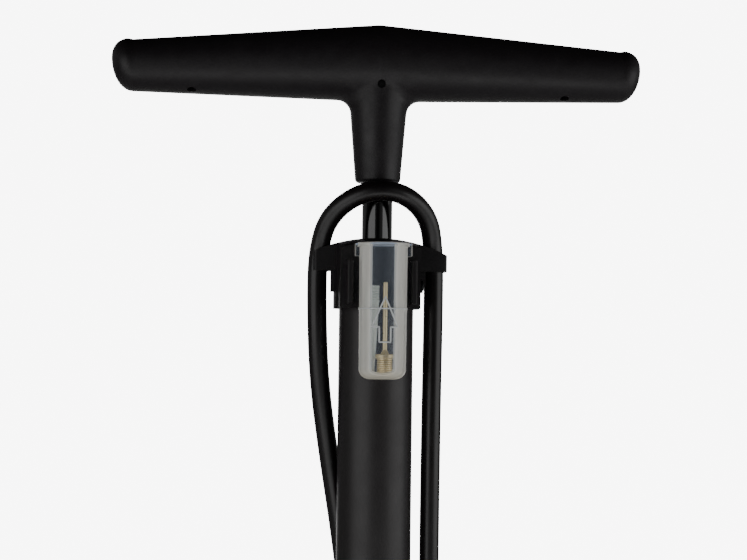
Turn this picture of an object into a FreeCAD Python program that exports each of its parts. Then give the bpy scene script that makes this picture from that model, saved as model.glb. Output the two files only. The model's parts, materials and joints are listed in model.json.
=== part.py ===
import FreeCAD, Part
import math
import os

# Floor bike pump, as an assembly of separate pieces. Millimetres, +Z up.
# The origin is on the floor, on the barrel's axis. The gauge and the accessory case face -Y,
# the handle's arms point along X, and the pump head is docked behind the barrel, at +Y.

V = FreeCAD.Vector
X_AXIS = V(1, 0, 0)
Y_AXIS = V(0, 1, 0)
Z_AXIS = V(0, 0, 1)

# ---------------------------------------------------------------- driving dimensions
RUNNING_GAP = 0.05      # radial clearance of a shaft that turns or slides in its bore
FIT_GAP = 0.03          # radial clearance of pieces that are assembled and stay put
CLEARANCE = 0.35        # free space between pieces of different bodies

BARREL_R = 19.0
BARREL_BORE_R = 17.5
BARREL_BOTTOM_Z = 30.0
BARREL_TOP_Z = 530.5

ROD_R = 7.75
ROD_BORE_R = 6.0
ROD_TOP_Z = 628.0

# collar on top of the barrel
COLLAR_BOTTOM_Z = 506.5
COLLAR_R = 22.0
COLLAR_CROWN_Z = 542.8      # top of the crown, on the axis
COLLAR_CROWN_R = 80.0       # the crown is part of a sphere of this radius
COLLAR_SKIRT_R = 17.2       # inner skirt that drops into the barrel
COLLAR_SKIRT_BOTTOM_Z = 512.0
BUSHING_R = 13.0
BUSHING_TOP_Z = 530.5
WING_BOTTOM_Z = 525.8
HOOK_X = 29.5               # hose centre in the hooks
HOOK_Y = 2.0
HOOK_BORE_R = 5.4
HOOK_WALL = 1.8
FRONT_BLOCK_X = 20.2        # half width of the block that carries the case's rails
FRONT_WALL_Y = -22.0
RAIL_X_IN = 14.5
RAIL_X_OUT = 17.4
RAIL_FRONT_Y = -32.0
RAIL_TOP_Z = 530.0
RAIL_BOTTOM_Z = 508.5

# accessory case and what it stores
CASE_Y = -34.5
CASE_R = 12.0
CASE_BOTTOM_R = 11.6
CASE_WALL = 1.3
CASE_TOP_Z = 538.5
CASE_BOTTOM_Z = 471.3
CASE_FLANGE_R = 13.0
FIN_BACK_Y = -28.4          # the case's side fins slide in the rails' grooves
FIN_FRONT_Y = -30.4
FIN_X_OUT = 15.7

NEEDLE_X = 0.9
NEEDLE_Y = -37.3
NEEDLE_BOTTOM_Z = 472.9
CONE_X = -5.0
CONE_Y = -30.7
CONE_BOTTOM_Z = 473.5

# hose
HOSE_R = 5.05
OUTLET_X = 34.0
OUTLET_Y = 4.0
OUTLET_TOP_Z = 61.0
FERRULE_LENGTH = 18.0
FERRULE_R = 6.4

# pump head, docked behind the barrel on a peg
HEAD_Z = 150.0              # height of the port's axis
HEAD_Y = 38.0               # the neck's axis
HEAD_NECK_TOP_Z = 176.0
LEVER_PIVOT_Y = 54.0
CAM_R = 5.55
CAM_OFFSET = 1.5
LEVER_HALF_WIDTH = 5.3
PEG_R = 3.9
PORT_FACE_Y = 24.5

# handle
HANDLE_AXIS_Z = 632.4       # centre of the middle of the handle
HANDLE_MID_R = 19.7
HANDLE_END_R = 13.2         # arm radius where the rounded end begins
HANDLE_END_X = 125.0
HANDLE_TIP_X = 136.0
ARM_DROOP = math.tan(math.radians(1.85))
STEM_BOTTOM_Z = 571.0
STEM_BOTTOM_R = 11.5
STEM_TOP_R = 16.5           # where the stem meets the arms' axis
HANDLE_WALL = 3.6
DRAIN_HOLE_X = 95.5
DRAIN_HOLE_R = 2.3

# base
BASE_RIM_Z = 2.5
PLATE_Z = 3.6
PLATE_TOP_Z = 5.4
TOWER_TOP_Z = 72.0
TOWER_R = 26.5
SOCKET_R = BARREL_R + FIT_GAP
SHELL = 3.4
GAUGE_TILT = 50.0           # gauge axis from vertical, leaning to the front
GAUGE_CENTRE = V(0, -54, 52)
GAUGE_POD_R = 31.0
GAUGE_CASE_R = 27.5
GAUGE_CASE_DEPTH = 16.0

# valve block, piston
BLOCK_BOTTOM_Z = 15.0
BLOCK_TOP_Z = 44.0
VALVE_SEAT_Z = 30.0
BALL_R = 3.0
VALVE_BORE_R = 4.1
SEAT_HOLE_R = 2.0
PORT_Z = 21.0
PISTON_BOTTOM_Z = 46.0
PISTON_TOP_Z = 64.0
PISTON_R = 17.2
BUMPER_TOP_Z = 74.0
STROKE = COLLAR_SKIRT_BOTTOM_Z - BUMPER_TOP_Z - 1.0


# ---------------------------------------------------------------- helpers
def rod(radius, start, end):
    """A cylinder from one point to another."""
    along = end - start
    return Part.makeCylinder(radius, along.Length, start, along)


def tube(outer, inner, start, end):
    """A pipe from one point to another."""
    return rod(outer, start, end).cut(rod(inner, start, end))


def upright(radius, z0, z1, x=0.0, y=0.0):
    return rod(radius, V(x, y, z0), V(x, y, z1))


def ring(outer, inner, z0, z1, x=0.0, y=0.0):
    return tube(outer, inner, V(x, y, z0), V(x, y, z1))


def box(x0, x1, y0, y1, z0, z1):
    return Part.makeBox(x1 - x0, y1 - y0, z1 - z0, V(x0, y0, z0))


def mirrored(shape):
    """The same shape on the other side of the YZ plane."""
    return shape.mirror(V(0, 0, 0), X_AXIS)


def fused(*shapes):
    """One solid from several, with leftover seams removed."""
    whole = shapes[0].fuse(list(shapes[1:]))
    return whole.removeSplitter()


def revolved(points, centre=V(0, 0, 0)):
    """A solid of revolution about Z, from (radius, z) corners."""
    corners = [V(r, 0, z) for r, z in points]
    face = Part.Face(Part.makePolygon(corners + corners[:1]))
    solid = face.revolve(V(0, 0, 0), Z_AXIS, 360)
    solid.translate(centre)
    return solid


def rounded(shape, radius, wanted):
    """The shape with a fillet on each edge that wanted(edge) picks, or unchanged if that can't be made."""
    edges = [e for e in shape.Edges if wanted(e)]
    if not edges:
        return shape
    try:
        made = shape.makeFillet(radius, edges)
    except Part.OCCError:
        return shape
    return made if made.isValid() and made.Volume > 0 else shape


def flat_at(z, low_r=0.0, high_r=1e9):
    """Picks round edges that lie in the plane at z, within a range of radii."""
    def wanted(edge):
        b = edge.BoundBox
        in_plane = abs(b.ZMin - z) < 1e-4 and abs(b.ZMax - z) < 1e-4
        return in_plane and hasattr(edge.Curve, "Radius") and low_r <= edge.Curve.Radius <= high_r
    return wanted


def torus(ring_r, section_r, z):
    return Part.makeTorus(ring_r, section_r, V(0, 0, z), Z_AXIS)


def fluted(shape, count, ring_r, flute_r, z0, z1):
    """Grip flutes cut round the outside."""
    for i in range(count):
        a = 2 * math.pi * i / count
        shape = shape.cut(upright(flute_r, z0, z1, ring_r * math.cos(a), ring_r * math.sin(a)))
    return shape


def thread_rings(shape, radius, z0, z1, pitch, depth, x=0.0, y=0.0):
    """Parallel V grooves that read as a screw thread."""
    for i in range(int((z1 - z0) / pitch)):
        z = z0 + pitch * (i + 0.5)
        half = pitch * 0.38
        corners = [(radius - depth, z), (radius + 0.2, z - half), (radius + 0.2, z + half)]
        shape = shape.cut(revolved(corners, V(x, y, 0)))
    return shape


def on_gauge(shape):
    """Places a shape that was made about the origin, facing +Z, on the gauge's tilted axis."""
    shape.Placement = FreeCAD.Placement(GAUGE_CENTRE, FreeCAD.Rotation(X_AXIS, GAUGE_TILT))
    return shape


def gauge_direction():
    tilt = math.radians(GAUGE_TILT)
    return V(0, -math.sin(tilt), math.cos(tilt))


# ---------------------------------------------------------------- base
BASE_A0, BASE_A2, BASE_A4 = 88.0, 22.7, 12.5
FOOT_PLACES = [(85, 27), (85, -27), (-85, -27), (-85, 27), (0, 58), (0, -58)]
SCREW_PLACES = [(62, 26), (62, -26), (-62, -26), (-62, 26)]
TRUMPET = [(121, 11.5), (90, 14.0), (62, 18.5), (42, 28.0), (31, 46.0), (TOWER_R, TOWER_TOP_Z)]


def base_radius(angle, inset=0.0):
    """The base's plan outline, in polar form: two foot lobes along X, a nose and a tail along Y."""
    return BASE_A0 + BASE_A2 * math.cos(2 * angle) + BASE_A4 * math.cos(4 * angle) - inset


def base_plan(inset, z0, z1):
    """The plan outline, shrunk by inset, as an upright slab."""
    points = []
    for i in range(48):
        a = 2 * math.pi * i / 48
        r = base_radius(a, inset)
        points.append(V(r * math.cos(a), r * math.sin(a), z0))
    curve = Part.BSplineCurve()
    curve.interpolate(points, PeriodicFlag=True)
    return Part.Face(Part.Wire(curve.toShape())).extrude(V(0, 0, z1 - z0))


def trumpet(raised, bottom_z, top_z):
    """A body of revolution whose top sweeps up from the foot platform into the barrel's tower."""
    sweep = [V(r, 0, z + raised) for r, z in TRUMPET]
    curve = Part.BSplineCurve()
    curve.interpolate(sweep)
    outer_r = sweep[0].x + 8.0
    corners = [sweep[-1], V(TOWER_R, 0, top_z), V(0, 0, top_z), V(0, 0, bottom_z), V(outer_r, 0, bottom_z),
               V(outer_r, 0, sweep[0].z), sweep[0]]
    if abs(sweep[-1].z - top_z) < 1e-6:
        corners.pop(0)
        corners[0] = sweep[-1]
    edges = [curve.toShape()] + [Part.makeLine(a, b) for a, b in zip(corners, corners[1:])]
    wire = Part.Wire(Part.__sortEdges__(edges))
    return Part.Face(wire).revolve(V(0, 0, 0), Z_AXIS, 360)


def gauge_pedestal(shrink=0.0):
    """An upright elliptical column whose slanted cut is the gauge's round seat."""
    tilt = math.radians(GAUGE_TILT)
    rx = GAUGE_POD_R - shrink
    ry = rx * math.cos(tilt)
    ellipse = Part.Ellipse(V(0, GAUGE_CENTRE.y, BASE_RIM_Z), rx, ry)
    column = Part.Face(Part.Wire(ellipse.toShape())).extrude(V(0, 0, 110))
    above = on_gauge(Part.makeBox(200, 200, 120, V(-100, -100, 0)))
    return column.cut(above)


def base():
    body = base_plan(0.0, BASE_RIM_Z, TOWER_TOP_Z + 5).common(trumpet(0.0, BASE_RIM_Z, TOWER_TOP_Z))
    body = rounded(body, 2.6, outer_rim_edge)
    hollow = base_plan(SHELL, 0, 60).common(trumpet(-SHELL, 0, TOWER_TOP_Z - SHELL))
    core = fused(upright(26.0, 0, 80), upright(10.5, 0, 60, OUTLET_X, OUTLET_Y))
    for x, y in SCREW_PLACES:
        core = core.fuse(upright(4.6, PLATE_TOP_Z, 60, x, y))
    body = body.cut(hollow.cut(core))
    body = body.cut(base_plan(SHELL - 1.4, 0, PLATE_TOP_Z + FIT_GAP))
    boss = upright(9.5, PLATE_TOP_Z, OUTLET_TOP_Z - 5, OUTLET_X, OUTLET_Y)
    boss = rounded(boss, 1.6, flat_at(OUTLET_TOP_Z - 5))
    pedestal = gauge_pedestal().cut(upright(25, 0, 100)).cut(box(-99, 99, -99, 99, 0, PLATE_TOP_Z))
    body = fused(body, boss, pedestal)
    body = body.cut(upright(SOCKET_R, BLOCK_BOTTOM_Z, 90))
    body = body.cut(upright(24.0, TOWER_TOP_Z - 6.0, 90))
    body = body.cut(upright(8.5, OUTLET_TOP_Z - 5, 90, OUTLET_X, OUTLET_Y))
    seat_depth = GAUGE_CASE_DEPTH + 0.3
    seat = on_gauge(Part.makeCylinder(GAUGE_CASE_R + 0.2, seat_depth, V(0, 0, -seat_depth)))
    body = body.cut(seat)
    body = body.cut(rod(3.0 + FIT_GAP, gauge_stem_start(), gauge_back()))
    body = body.cut(rod(2.0, V(BARREL_R - 1, 0, PORT_Z), V(OUTLET_X, OUTLET_Y, PORT_Z)))
    body = body.cut(upright(2.0, PORT_Z, 60, OUTLET_X, OUTLET_Y))
    body = body.cut(upright(4.5 + FIT_GAP, OUTLET_TOP_Z - 17, 70, OUTLET_X, OUTLET_Y))
    for x, y in SCREW_PLACES:
        body = body.cut(upright(1.6, 0, 13.0, x, y))
    return body


def outer_rim_edge(edge):
    """The long edge where the top of the foot platform meets its side wall."""
    b = edge.BoundBox
    return b.ZMin > BASE_RIM_Z + 2 and b.ZMax < 40 and edge.Length > 80


def base_plate():
    """Steel plate that closes the hollow underside."""
    plate = base_plan(SHELL - 1.4 + 0.2, PLATE_Z, PLATE_TOP_Z)
    for x, y in SCREW_PLACES:
        plate = plate.cut(upright(2.0, 0, 10, x, y))
    return plate


def base_feet():
    feet = []
    for x, y in FOOT_PLACES:
        foot = Part.makeCone(8.6, 10.0, PLATE_Z, V(x, y, 0))
        feet.append(rounded(foot, 0.6, flat_at(0.0)))
    return Part.makeCompound(feet)


def base_screws():
    screws = []
    for x, y in SCREW_PLACES:
        head = rounded(upright(3.4, PLATE_Z - 1.7, PLATE_Z, x, y), 0.8, flat_at(PLATE_Z - 1.7))
        slot = box(x - 2.4, x + 2.4, y - 0.4, y + 0.4, 0, PLATE_Z - 0.9)
        screws.append(fused(head.cut(slot), upright(1.58, PLATE_Z, 12.5, x, y)))
    return Part.makeCompound(screws)


def foot_grip():
    """Ribbed rubber tread on the right foot lobe. The left one is its mirror image."""
    slab = base_plan(8.0, 0, 60).common(box(54, 130, -60, 60, 0, 60))
    slab = rounded(slab, 9.0, lambda e: e.BoundBox.ZLength > 50 and e.BoundBox.XMin < 60)
    pad = slab.common(trumpet(2.2, 4, TOWER_TOP_Z).cut(trumpet(0.0, 0, TOWER_TOP_Z)))
    top = trumpet(2.3, 4, TOWER_TOP_Z).cut(trumpet(1.0, 0, TOWER_TOP_Z))
    for i in range(8):
        x = 59.5 + 7.2 * i
        groove = box(x, x + 2.6, -34 + 0.5 * i, 34 - 0.5 * i, 0, 40)
        groove = rounded(groove, 1.25, lambda e: e.BoundBox.ZLength > 30)
        pad = pad.cut(groove.common(top))
    return max(pad.Solids, key=lambda s: s.Volume)


def barrel():
    return ring(BARREL_R, BARREL_BORE_R, BARREL_BOTTOM_Z, BARREL_TOP_Z)


def barrel_lock_ring():
    """Ring nut that clamps the barrel in the base's tower."""
    body = ring(23.6, SOCKET_R, TOWER_TOP_Z - 6, TOWER_TOP_Z)
    crown = ring(25.2, SOCKET_R, TOWER_TOP_Z, TOWER_TOP_Z + 11)
    crown = rounded(crown, 1.4, flat_at(TOWER_TOP_Z + 11, 24))
    crown = fluted(crown, 24, 26.4, 2.0, TOWER_TOP_Z + 1.6, TOWER_TOP_Z + 9.4)
    return fused(body, crown)


# ---------------------------------------------------------------- valve block
def gauge_back():
    return GAUGE_CENTRE - gauge_direction() * (GAUGE_CASE_DEPTH + 0.3)


def gauge_stem_start():
    """Where the gauge's pipe, which runs along the gauge's axis, reaches the valve block."""
    back = gauge_back()
    g = gauge_direction()
    return back - g * ((-16.5 - back.y) / -g.y)


def valve_block():
    body = fused(upright(18.9, BLOCK_BOTTOM_Z, BARREL_BOTTOM_Z - 0.1), upright(17.2, 20, BLOCK_TOP_Z))
    body = body.cut(ring(20, 14.7, 36, 39.4))
    body = body.cut(upright(VALVE_BORE_R, BLOCK_BOTTOM_Z + 3, VALVE_SEAT_Z))
    body = body.cut(upright(SEAT_HOLE_R, 25, 60))
    body = body.cut(rod(1.8, V(0, 0, PORT_Z), V(25, 0, PORT_Z)))
    body = body.cut(rod(3.0 + FIT_GAP, gauge_stem_start(), gauge_back()))
    body = body.cut(rod(1.4, V(0, 0, PORT_Z), gauge_stem_start()))
    return body


def check_valve_spring():
    """Small coil spring under the ball."""
    coil_r, wire_r = 2.2, 0.3
    low = BLOCK_BOTTOM_Z + 3.0 + wire_r + 0.05
    height = ball_centre_z() - math.sqrt((BALL_R + wire_r + 0.06) ** 2 - coil_r ** 2) - low
    helix = Part.Wire(Part.makeHelix(height / 5, height, coil_r).Edges)
    helix.translate(V(0, 0, low))
    section = Part.Wire(Part.makeCircle(wire_r, V(coil_r, 0, low), Y_AXIS))
    return helix.makePipeShell([section], True, True)


def ball_centre_z():
    return VALVE_SEAT_Z - math.sqrt(BALL_R ** 2 - SEAT_HOLE_R ** 2) - 0.06


def check_valve_ball():
    return Part.makeSphere(BALL_R, V(0, 0, ball_centre_z()))


def o_ring(outer, section_r, z):
    return torus(outer - section_r, section_r, z)


# ---------------------------------------------------------------- gauge
def gauge_case():
    cup = Part.makeCylinder(GAUGE_CASE_R, GAUGE_CASE_DEPTH, V(0, 0, -GAUGE_CASE_DEPTH))
    cup = cup.cut(Part.makeCylinder(GAUGE_CASE_R - 1.4, GAUGE_CASE_DEPTH, V(0, 0, -GAUGE_CASE_DEPTH + 1.6)))
    cup = cup.cut(Part.makeCylinder(3.0 + FIT_GAP, 4, V(0, 0, -GAUGE_CASE_DEPTH - 1)))
    return on_gauge(cup)


def gauge_movement():
    """Bourdon tube, its socket block and the pointer's bearing post."""
    bow = Part.makeTorus(18.5, 2.1, V(0, 0, -9.2), Z_AXIS, -180, 180, 270)
    block = Part.makeBox(8, 11, 7.8, V(14.0, -9.5, -14.2))
    post = Part.makeCylinder(2.2, 7.8, V(0, 0, -14.2))
    base_bar = Part.makeBox(23, 7, 2.2, V(-3, -3.5, -14.3))
    movement = fused(bow, block, post, base_bar)
    movement = movement.cut(Part.makeCylinder(0.75, 10, V(0, 0, -11)))
    return on_gauge(movement)


def gauge_stem():
    return tube(3.0, 1.2, gauge_stem_start(), gauge_back() + gauge_direction() * 1.8)


def gauge_dial():
    dial = Part.makeCylinder(GAUGE_CASE_R - 1.5, 0.9, V(0, 0, -5.2))
    return on_gauge(dial.cut(Part.makeCylinder(1.6, 4, V(0, 0, -7))))


def gauge_needle():
    """Pointer with its arbor. It rests on the zero mark, at the lower left of the dial."""
    hub = Part.makeCylinder(2.6, 1.6, V(0, 0, -3.7))
    arbor = Part.makeCylinder(0.7, 7.0, V(0, 0, -10.5))
    blade = Part.Face(Part.makePolygon([
        V(-6, -1.2, 0), V(0, -1.6, 0), V(20.5, -0.25, 0), V(20.5, 0.25, 0), V(0, 1.6, 0), V(-6, 1.2, 0),
        V(-6, -1.2, 0),
    ])).extrude(V(0, 0, 0.7))
    blade.translate(V(0, 0, -3.4))
    needle = fused(hub, arbor, blade)
    needle.rotate(V(0, 0, 0), Z_AXIS, 225)
    return on_gauge(needle)


def gauge_lens():
    lens = Part.makeCylinder(GAUGE_CASE_R - 0.3, 1.8, V(0, 0, 0.1))
    return on_gauge(rounded(lens, 0.6, lambda e: abs(e.BoundBox.ZMin - 1.9) < 1e-4))


def gauge_bezel():
    body = Part.makeCylinder(GAUGE_POD_R + 0.6, 4.4, V(0, 0, 0.05))
    body = body.cut(Part.makeCylinder(GAUGE_CASE_R - 2.6, 9, V(0, 0, -2)))
    body = body.cut(Part.makeCylinder(GAUGE_CASE_R - 0.25, 1.9, V(0, 0, 0)))
    body = rounded(body, 1.5, lambda e: abs(e.BoundBox.ZMin - 4.45) < 1e-4)
    return on_gauge(body)


# ---------------------------------------------------------------- collar
def rail_foot_edge(edge):
    """The rounded corner at the foot of a rail, on its front."""
    b = edge.BoundBox
    return b.XLength > 2 and b.ZMax < RAIL_BOTTOM_Z + 0.1 and b.YMax < RAIL_FRONT_Y + 2


def collar():
    body = upright(COLLAR_R, COLLAR_BOTTOM_Z, 560)
    body = body.fuse(box(-FRONT_BLOCK_X, FRONT_BLOCK_X, FRONT_WALL_Y, 0, COLLAR_BOTTOM_Z, 560))
    upper = box(-FRONT_BLOCK_X, FRONT_BLOCK_X, FRONT_WALL_Y - 1.0, 0, WING_BOTTOM_Z, 560)
    body = body.fuse(upper)
    for side in (-1, 1):
        rail = box(RAIL_X_IN, RAIL_X_OUT, RAIL_FRONT_Y, FRONT_WALL_Y + 1, RAIL_BOTTOM_Z, RAIL_TOP_Z)
        rail = rounded(rail, 0.8, lambda e: e.BoundBox.ZLength > 15 and e.BoundBox.YMax < RAIL_FRONT_Y + 1)
        rail = rounded(rail, 1.0, rail_foot_edge)
        groove_y = (FIN_FRONT_Y - 0.3, FIN_BACK_Y + 0.3)
        groove = box(RAIL_X_IN - 1, FIN_X_OUT + 0.3, *groove_y, RAIL_BOTTOM_Z + 1.2, 560)
        rib = box(COLLAR_R - 3, 23.6, HOOK_Y - 4.5, HOOK_Y - 1.5, 515.0, WING_BOTTOM_Z + 1)
        rail = rail.cut(groove)
        if side < 0:
            rail, rib = mirrored(rail), mirrored(rib)
        body = body.fuse([rail, rib])
    hose_rest = box(COLLAR_R - 3, 25.0, HOOK_Y - 4.5, HOOK_Y - 1.5, 518.0, WING_BOTTOM_Z + 1)
    body = body.fuse(hose_rest)
    reach_right = HOOK_X + HOOK_BORE_R + HOOK_WALL - 0.9
    reach_left = 32.6
    half_depth = HOOK_BORE_R + HOOK_WALL
    wing = box(-reach_left, reach_right, HOOK_Y - half_depth, HOOK_Y + half_depth, WING_BOTTOM_Z, 560)
    wing = rounded(wing, 1.6, lambda e: e.BoundBox.ZLength > 15)
    body = fused(body, wing)
    crown = Part.makeSphere(COLLAR_CROWN_R, V(0, 0, COLLAR_CROWN_Z - COLLAR_CROWN_R))
    body = body.common(crown)
    body = rounded(body, 0.9, crown_edge)
    body = body.cut(upright(HOOK_BORE_R, 500, 532, HOOK_X, HOOK_Y))
    body = body.cut(upright(HOOK_BORE_R, 500, 532, -HOOK_X, HOOK_Y))
    body = body.cut(hose_tube(HOSE_R + CLEARANCE))
    body = body.cut(upright(CASE_FLANGE_R + 0.5, 500, 560, 0, CASE_Y))
    mouth = box(-60, -HOOK_X, HOOK_Y - 4.3, HOOK_Y + 4.3, WING_BOTTOM_Z - 1, 560)
    body = body.cut(mouth)
    body = body.cut(ring(SOCKET_R, COLLAR_SKIRT_R, COLLAR_BOTTOM_Z - 1, BARREL_TOP_Z + 0.1))
    body = body.cut(upright(COLLAR_SKIRT_R + 0.1, COLLAR_BOTTOM_Z - 1, COLLAR_SKIRT_BOTTOM_Z))
    body = body.cut(upright(BUSHING_R, COLLAR_SKIRT_BOTTOM_Z - 6, BUSHING_TOP_Z))
    body = body.cut(upright(10.5, BUSHING_TOP_Z - 1, BUSHING_TOP_Z + 3.5))
    body = body.cut(upright(ROD_R + 0.4, 500, 560))
    for place, direction in collar_screw_places():
        hole = rod(1.6, place - direction * 8, place + direction * 8)
        seat = rod(3.1, place - direction * 0.3, place + direction * 4)
        body = body.cut(hole.fuse(seat).common(upright(40, 500, 530).cut(upright(BARREL_R - 0.5, 490, 560))))
    return body


def crown_edge(edge):
    """Edges round the crowned top, but not the seams of its sphere."""
    b = edge.BoundBox
    faces_outward = b.ZMin > RAIL_TOP_Z + 3 and b.XLength + b.YLength > 2
    return faces_outward and b.ZLength < 9


def collar_screw_places():
    """Where the two fixing screws sit on the collar, and the way they point."""
    return [(V(COLLAR_R, -6.0, 518.5), X_AXIS), (V(0, COLLAR_R, 518.5), Y_AXIS)]


def collar_screws():
    screws = []
    for place, direction in collar_screw_places():
        head = rod(2.9, place - direction * 0.25, place + direction * 1.5)
        head = rounded(head, 0.7, lambda e: True)
        cross = rod(1.2, place + direction * 0.7, place + direction * 3)
        inner = place - direction * (place.dot(direction) - BARREL_R - 0.1)
        screws.append(fused(head.cut(cross), rod(1.58, inner, place)))
    return Part.makeCompound(screws)


def rod_bushing():
    return ring(BUSHING_R - FIT_GAP, ROD_R + RUNNING_GAP, COLLAR_SKIRT_BOTTOM_Z, BUSHING_TOP_Z - 0.1)


def rod_wiper():
    return ring(10.5 - FIT_GAP, ROD_R + RUNNING_GAP, BUSHING_TOP_Z, BUSHING_TOP_Z + 3.4)


# ---------------------------------------------------------------- accessory case
def case_outer(extra=0.0):
    """The case's cup: a slight taper and a well rounded bottom."""
    r_top, r_low = CASE_R + extra, CASE_BOTTOM_R + extra
    cup = Part.makeCone(r_low, r_top, CASE_TOP_Z - CASE_BOTTOM_Z - extra, V(0, CASE_Y, CASE_BOTTOM_Z - extra))
    return rounded(cup, 5.0 + extra, flat_at(CASE_BOTTOM_Z - extra))


def accessory_case():
    cup = case_outer()
    flange = upright(CASE_FLANGE_R, CASE_TOP_Z - 1.9, CASE_TOP_Z, 0, CASE_Y)
    flange = rounded(flange, 0.6, flat_at(CASE_TOP_Z))
    lug = box(CASE_R - 1.5, 14.1, CASE_Y - 2.6, CASE_Y + 2.6, CASE_TOP_Z - 6.6, CASE_TOP_Z - 0.4)
    lug = rounded(lug, 0.5, lambda e: e.BoundBox.XMin > 14)
    fin = box(CASE_R - 3.0, FIN_X_OUT, FIN_FRONT_Y, FIN_BACK_Y, RAIL_BOTTOM_Z + 1.4, RAIL_TOP_Z - 0.4)
    arrow = case_arrow()
    step = ring(CASE_R + 0.15, CASE_R - 1, 505.4, 506.6, 0, CASE_Y)
    body = fused(cup, flange, lug, mirrored(lug), fin, mirrored(fin), step)
    body = body.fuse(arrow).removeSplitter()
    floor = V(0, CASE_Y, CASE_BOTTOM_Z + CASE_WALL)
    inside = Part.makeCone(CASE_BOTTOM_R - CASE_WALL, CASE_R - CASE_WALL, 80, floor)
    inside = rounded(inside, 4.0, flat_at(CASE_BOTTOM_Z + CASE_WALL))
    return body.cut(inside)


def case_arrow():
    """Raised outline of an upward arrow on the front of the case."""
    line = 0.8
    corners = [
        (0, 511.8), (6.3, 497.0), (2.8, 497.0), (2.8, 489.6),
        (-2.8, 489.6), (-2.8, 497.0), (-6.3, 497.0),
    ]
    strokes = []
    for (xa, za), (xb, zb) in zip(corners, corners[1:] + corners[:1]):
        start, end = V(xa, 0, za), V(xb, 0, zb)
        along = (end - start).normalize()
        side = V(along.z, 0, -along.x) * (line / 2)
        outline = [start - side, start + side, end + side, end - side, start - side]
        stroke = Part.Face(Part.makePolygon(outline)).extrude(V(0, 8, 0))
        stroke.translate(V(0, CASE_Y - CASE_R - 1, 0))
        strokes.append(stroke)
        strokes.append(rod(line / 2, V(xa, CASE_Y - CASE_R - 1, za), V(xa, CASE_Y - CASE_R + 7, za)))
    mark = strokes[0].fuse(strokes[1:])
    skin = case_outer(0.25).cut(case_outer(-0.4))
    return mark.common(skin).common(box(-9, 9, CASE_Y - 20, CASE_Y - 5, 480, 520))


def ball_needle():
    """Brass inflation needle, thread down."""
    z = NEEDLE_BOTTOM_Z
    x, y = NEEDLE_X, NEEDLE_Y
    thread = thread_rings(upright(3.9, z, z + 8.6, x, y), 3.9, z + 0.2, z + 8.4, 1.0, 0.45, x, y)
    flange = rounded(upright(4.75, z + 8.6, z + 10.8, x, y), 0.5, lambda e: True)
    shoulder = Part.makeCone(2.2, 1.15, 2.0, V(x, y, z + 10.8))
    needle = upright(1.1, z + 12.8, z + 46.3, x, y)
    needle = rounded(needle, 0.5, flat_at(z + 46.3))
    body = fused(thread, flange, shoulder, needle)
    body = body.cut(upright(0.55, z - 1, z + 42, x, y))
    return body.cut(rod(0.5, V(x - 3, y, z + 41), V(x + 3, y, z + 41)))


def cone_adapter():
    """Tapered nozzle for air beds, thread up."""
    z = CONE_BOTTOM_Z
    x, y = CONE_X, CONE_Y
    nozzle = Part.makeCone(1.5, 3.5, 36.0, V(x, y, z))
    thread = thread_rings(upright(3.6, z + 36, z + 44, x, y), 3.6, z + 36.6, z + 43.6, 1.3, 0.45, x, y)
    body = fused(nozzle, thread)
    body = body.cut(Part.makeCone(0.7, 2.2, 48, V(x, y, z - 1)))
    return body


# ---------------------------------------------------------------- handle
def arm_height(x):
    """Height of the arm's axis at a distance x from the middle."""
    return HANDLE_AXIS_Z - ARM_DROOP * abs(x)


def arm_end():
    """The arm's rounded tip. It is fuller above than below, with a faint lip along its top."""
    peak = 4.3
    r = HANDLE_END_R - 0.05
    sections = []
    for u in (0.02, 0.4, 1.1, 2.2, 3.8, 5.7, 7.9, 9.9, HANDLE_TIP_X - HANDLE_END_X):
        high = peak + (r - peak) * quarter(u / 7.0) + 0.5 * max(0.0, 1 - abs(u - 8.0) / 2.9)
        low = peak - (r + peak) * quarter(u / 11.0)
        wide = r * quarter(u / 9.5)
        middle_z = arm_height(HANDLE_END_X) + (high + low) / 2
        sections.append(oval(HANDLE_TIP_X - u, middle_z, wide, (high - low) / 2))
    return Part.makeLoft(sections, True, False)


def quarter(t):
    """Height of a quarter ellipse: 0 at t = 0, 1 from t = 1."""
    return math.sqrt(1 - (1 - min(max(t, 0.0), 1.0)) ** 2)


def oval(x, z, half_width, half_height):
    """An upright ellipse across the arm, at x."""
    points = []
    for i in range(24):
        a = 2 * math.pi * i / 24
        points.append(V(x, half_width * math.cos(a), z + half_height * math.sin(a)))
    curve = Part.BSplineCurve()
    curve.interpolate(points, PeriodicFlag=True)
    return Part.Wire(curve.toShape())


def arm(inset=0.0):
    """The conical right arm, tangent to the ball in the middle of the handle and cut square at its end."""
    reach = HANDLE_END_X + 3.0
    along = V(reach, 0, arm_height(reach) - HANDLE_AXIS_Z)
    thin = (HANDLE_MID_R - HANDLE_END_R) * reach / HANDLE_END_X
    wide = HANDLE_MID_R - inset
    cone = Part.makeCone(wide, wide - thin, along.Length, V(0, 0, HANDLE_AXIS_Z), along)
    return cone.common(box(-10, HANDLE_END_X - inset, -40, 40, 580, 670))


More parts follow.
